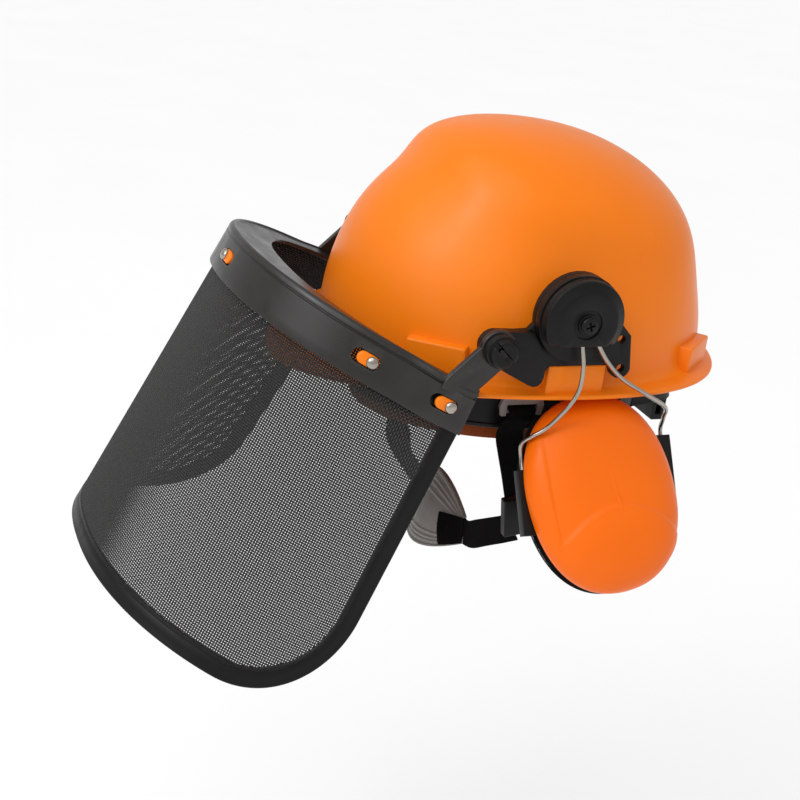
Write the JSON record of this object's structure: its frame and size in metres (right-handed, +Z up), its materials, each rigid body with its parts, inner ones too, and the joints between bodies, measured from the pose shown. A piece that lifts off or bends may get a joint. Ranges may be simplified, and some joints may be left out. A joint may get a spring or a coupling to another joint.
{
  "type": "forestry hard hat",
  "caption": "Hard hat with tilting mesh face visor, swing-out ear muffs on wire arms, ratchet suspension and a chin strap.",
  "frame": {"origin": "middle of the head opening in the plane of the shell's side brim, where the wearer's head holds the hat", "axes": "+Z up, the wearer faces -Y, the wearer's left is +X"},
  "size_m": [0.313, 0.3843, 0.2865],
  "materials": {
    "orange_shell": "satin injection-moulded",
    "orange_cup": "satin injection-moulded",
    "black_plastic": "fine satin",
    "gloss_black_plastic": "semi-gloss moulded",
    "woven_wire": "black coated woven steel wire",
    "steel": "bright drawn wire and turned studs",
    "clip_plastic": "smoky translucent",
    "black_webbing": "woven polyester",
    "brow_leatherette": "brown synthetic leather",
    "cushion_vinyl": "soft black vinyl",
    "foam": "open-cell foam"
  },
  "bodies": {
    "helmet": {"shell": "orange_shell", "headband": "black_plastic", "sweatband": "brow_leatherette", "hanger_key_front_left": "black_plastic", "hanger_key_front_right": "black_plastic", "hanger_key_rear_left": "black_plastic", "hanger_key_rear_right": "black_plastic", "crown_strap_a": "black_webbing", "crown_strap_b": "black_webbing", "ratchet_housing": "black_plastic", "adapter_plate_left": "black_plastic", "hub_base_left": "black_plastic", "hub_screw_left": "black_plastic", "pivot_bolt_left": "steel", "adapter_plate_right": "black_plastic", "hub_base_right": "black_plastic", "hub_screw_right": "black_plastic", "pivot_bolt_right": "steel"},
    "visor": {"brow_guard": "gloss_black_plastic", "mesh_screen": "woven_wire", "screen_trim": "black_plastic", "keeper_front": "orange_shell", "stud_front": "steel", "keeper_left_fore": "orange_shell", "stud_left_fore": "steel", "keeper_left_rear": "orange_shell", "stud_left_rear": "steel", "keeper_right_fore": "orange_shell", "stud_right_fore": "steel", "keeper_right_rear": "orange_shell", "stud_right_rear": "steel"},
    "chin_strap": {"chin_clip_left": "clip_plastic", "chin_clip_right": "clip_plastic", "chin_webbing_left": "black_webbing", "chin_webbing_lower": "black_webbing", "chin_webbing_right": "black_webbing", "strap_adjuster": "black_plastic", "chin_cup": "clip_plastic"},
    "ratchet_knob": {"ratchet_knob": "black_plastic"},
    "visor_knob_left": {"pivot_knob_left": "black_plastic"},
    "muff_hub_left": {"hub_cap_left": "black_plastic"},
    "muff_arm_left": {"muff_wire_left": "steel"},
    "ear_cup_left": {"slider_front_left": "black_plastic", "slider_rear_left": "black_plastic", "cup_shell_left": "orange_cup", "cup_back_plate_left": "black_plastic", "ear_cushion_left": "cushion_vinyl", "foam_insert_left": "foam"},
    "nape_strap_left": {"nape_strap_left": "black_plastic"},
    "visor_knob_right": {"pivot_knob_right": "black_plastic"},
    "muff_hub_right": {"hub_cap_right": "black_plastic"},
    "muff_arm_right": {"muff_wire_right": "steel"},
    "ear_cup_right": {"slider_front_right": "black_plastic", "slider_rear_right": "black_plastic", "cup_shell_right": "orange_cup", "cup_back_plate_right": "black_plastic", "ear_cushion_right": "cushion_vinyl", "foam_insert_right": "foam"},
    "nape_strap_right": {"nape_strap_right": "black_plastic"}
  },
  "joints": [
    {"name": "visor_tilt", "type": "hinge", "parent": "helmet", "child": "visor", "pos_m": [0, -0.06, 0.0295], "axis": [-1, 0, 0], "range_deg": [-15, 66]},
    {"name": "chin_strap_swing", "type": "hinge", "parent": "helmet", "child": "chin_strap", "pos_m": [0, -0.028, 0.005], "axis": [-1, 0, 0], "range_deg": [0, 28]},
    {"name": "ratchet_turn", "type": "hinge", "parent": "helmet", "child": "ratchet_knob", "pos_m": [0, 0.098, -0.035], "axis": [0, 1, 0], "range_deg": [0, 85]},
    {"name": "visor_knob_turn_left", "type": "hinge", "parent": "helmet", "child": "visor_knob_left", "pos_m": [0.118, -0.06, 0.0295], "axis": [1, 0, 0], "range_deg": [0, 180]},
    {"name": "muff_swivel_left", "type": "hinge", "parent": "helmet", "child": "muff_hub_left", "pos_m": [0.115, -0.0135, 0.045], "axis": [-1, 0, 0], "range_deg": [-6, 0]},
    {"name": "muff_swing_left", "type": "hinge", "parent": "muff_hub_left", "child": "muff_arm_left", "pos_m": [0.117, -0.0084, 0.0365], "axis": [0, -1, 0], "range_deg": [0, 20]},
    {"name": "cup_slide_left", "type": "slide", "parent": "muff_arm_left", "child": "ear_cup_left", "axis": [0.5299, 0, -0.848], "range_m": [0, 0.015]},
    {"name": "nape_slide_left", "type": "slide", "parent": "helmet", "child": "nape_strap_left", "axis": [-1, 0, 0], "range_m": [0, 0.006]},
    {"name": "visor_knob_turn_right", "type": "hinge", "parent": "helmet", "child": "visor_knob_right", "pos_m": [-0.118, -0.06, 0.0295], "axis": [-1, 0, 0], "range_deg": [0, 180]},
    {"name": "muff_swivel_right", "type": "hinge", "parent": "helmet", "child": "muff_hub_right", "pos_m": [-0.115, -0.0135, 0.045], "axis": [-1, 0, 0], "range_deg": [-6, 0]},
    {"name": "muff_swing_right", "type": "hinge", "parent": "muff_hub_right", "child": "muff_arm_right", "pos_m": [-0.117, -0.0084, 0.0365], "axis": [0, 1, 0], "range_deg": [0, 20]},
    {"name": "cup_slide_right", "type": "slide", "parent": "muff_arm_right", "child": "ear_cup_right", "axis": [-0.5299, 0, -0.848], "range_m": [0, 0.015]},
    {"name": "nape_slide_right", "type": "slide", "parent": "helmet", "child": "nape_strap_right", "axis": [1, 0, 0], "range_m": [0, 0.006]}
  ],
  "couplings": [
    {"joint": "nape_slide_left", "follows": "ratchet_turn", "m_per_rad": 0.004},
    {"joint": "nape_slide_right", "follows": "ratchet_turn", "m_per_rad": 0.004}
  ]
}
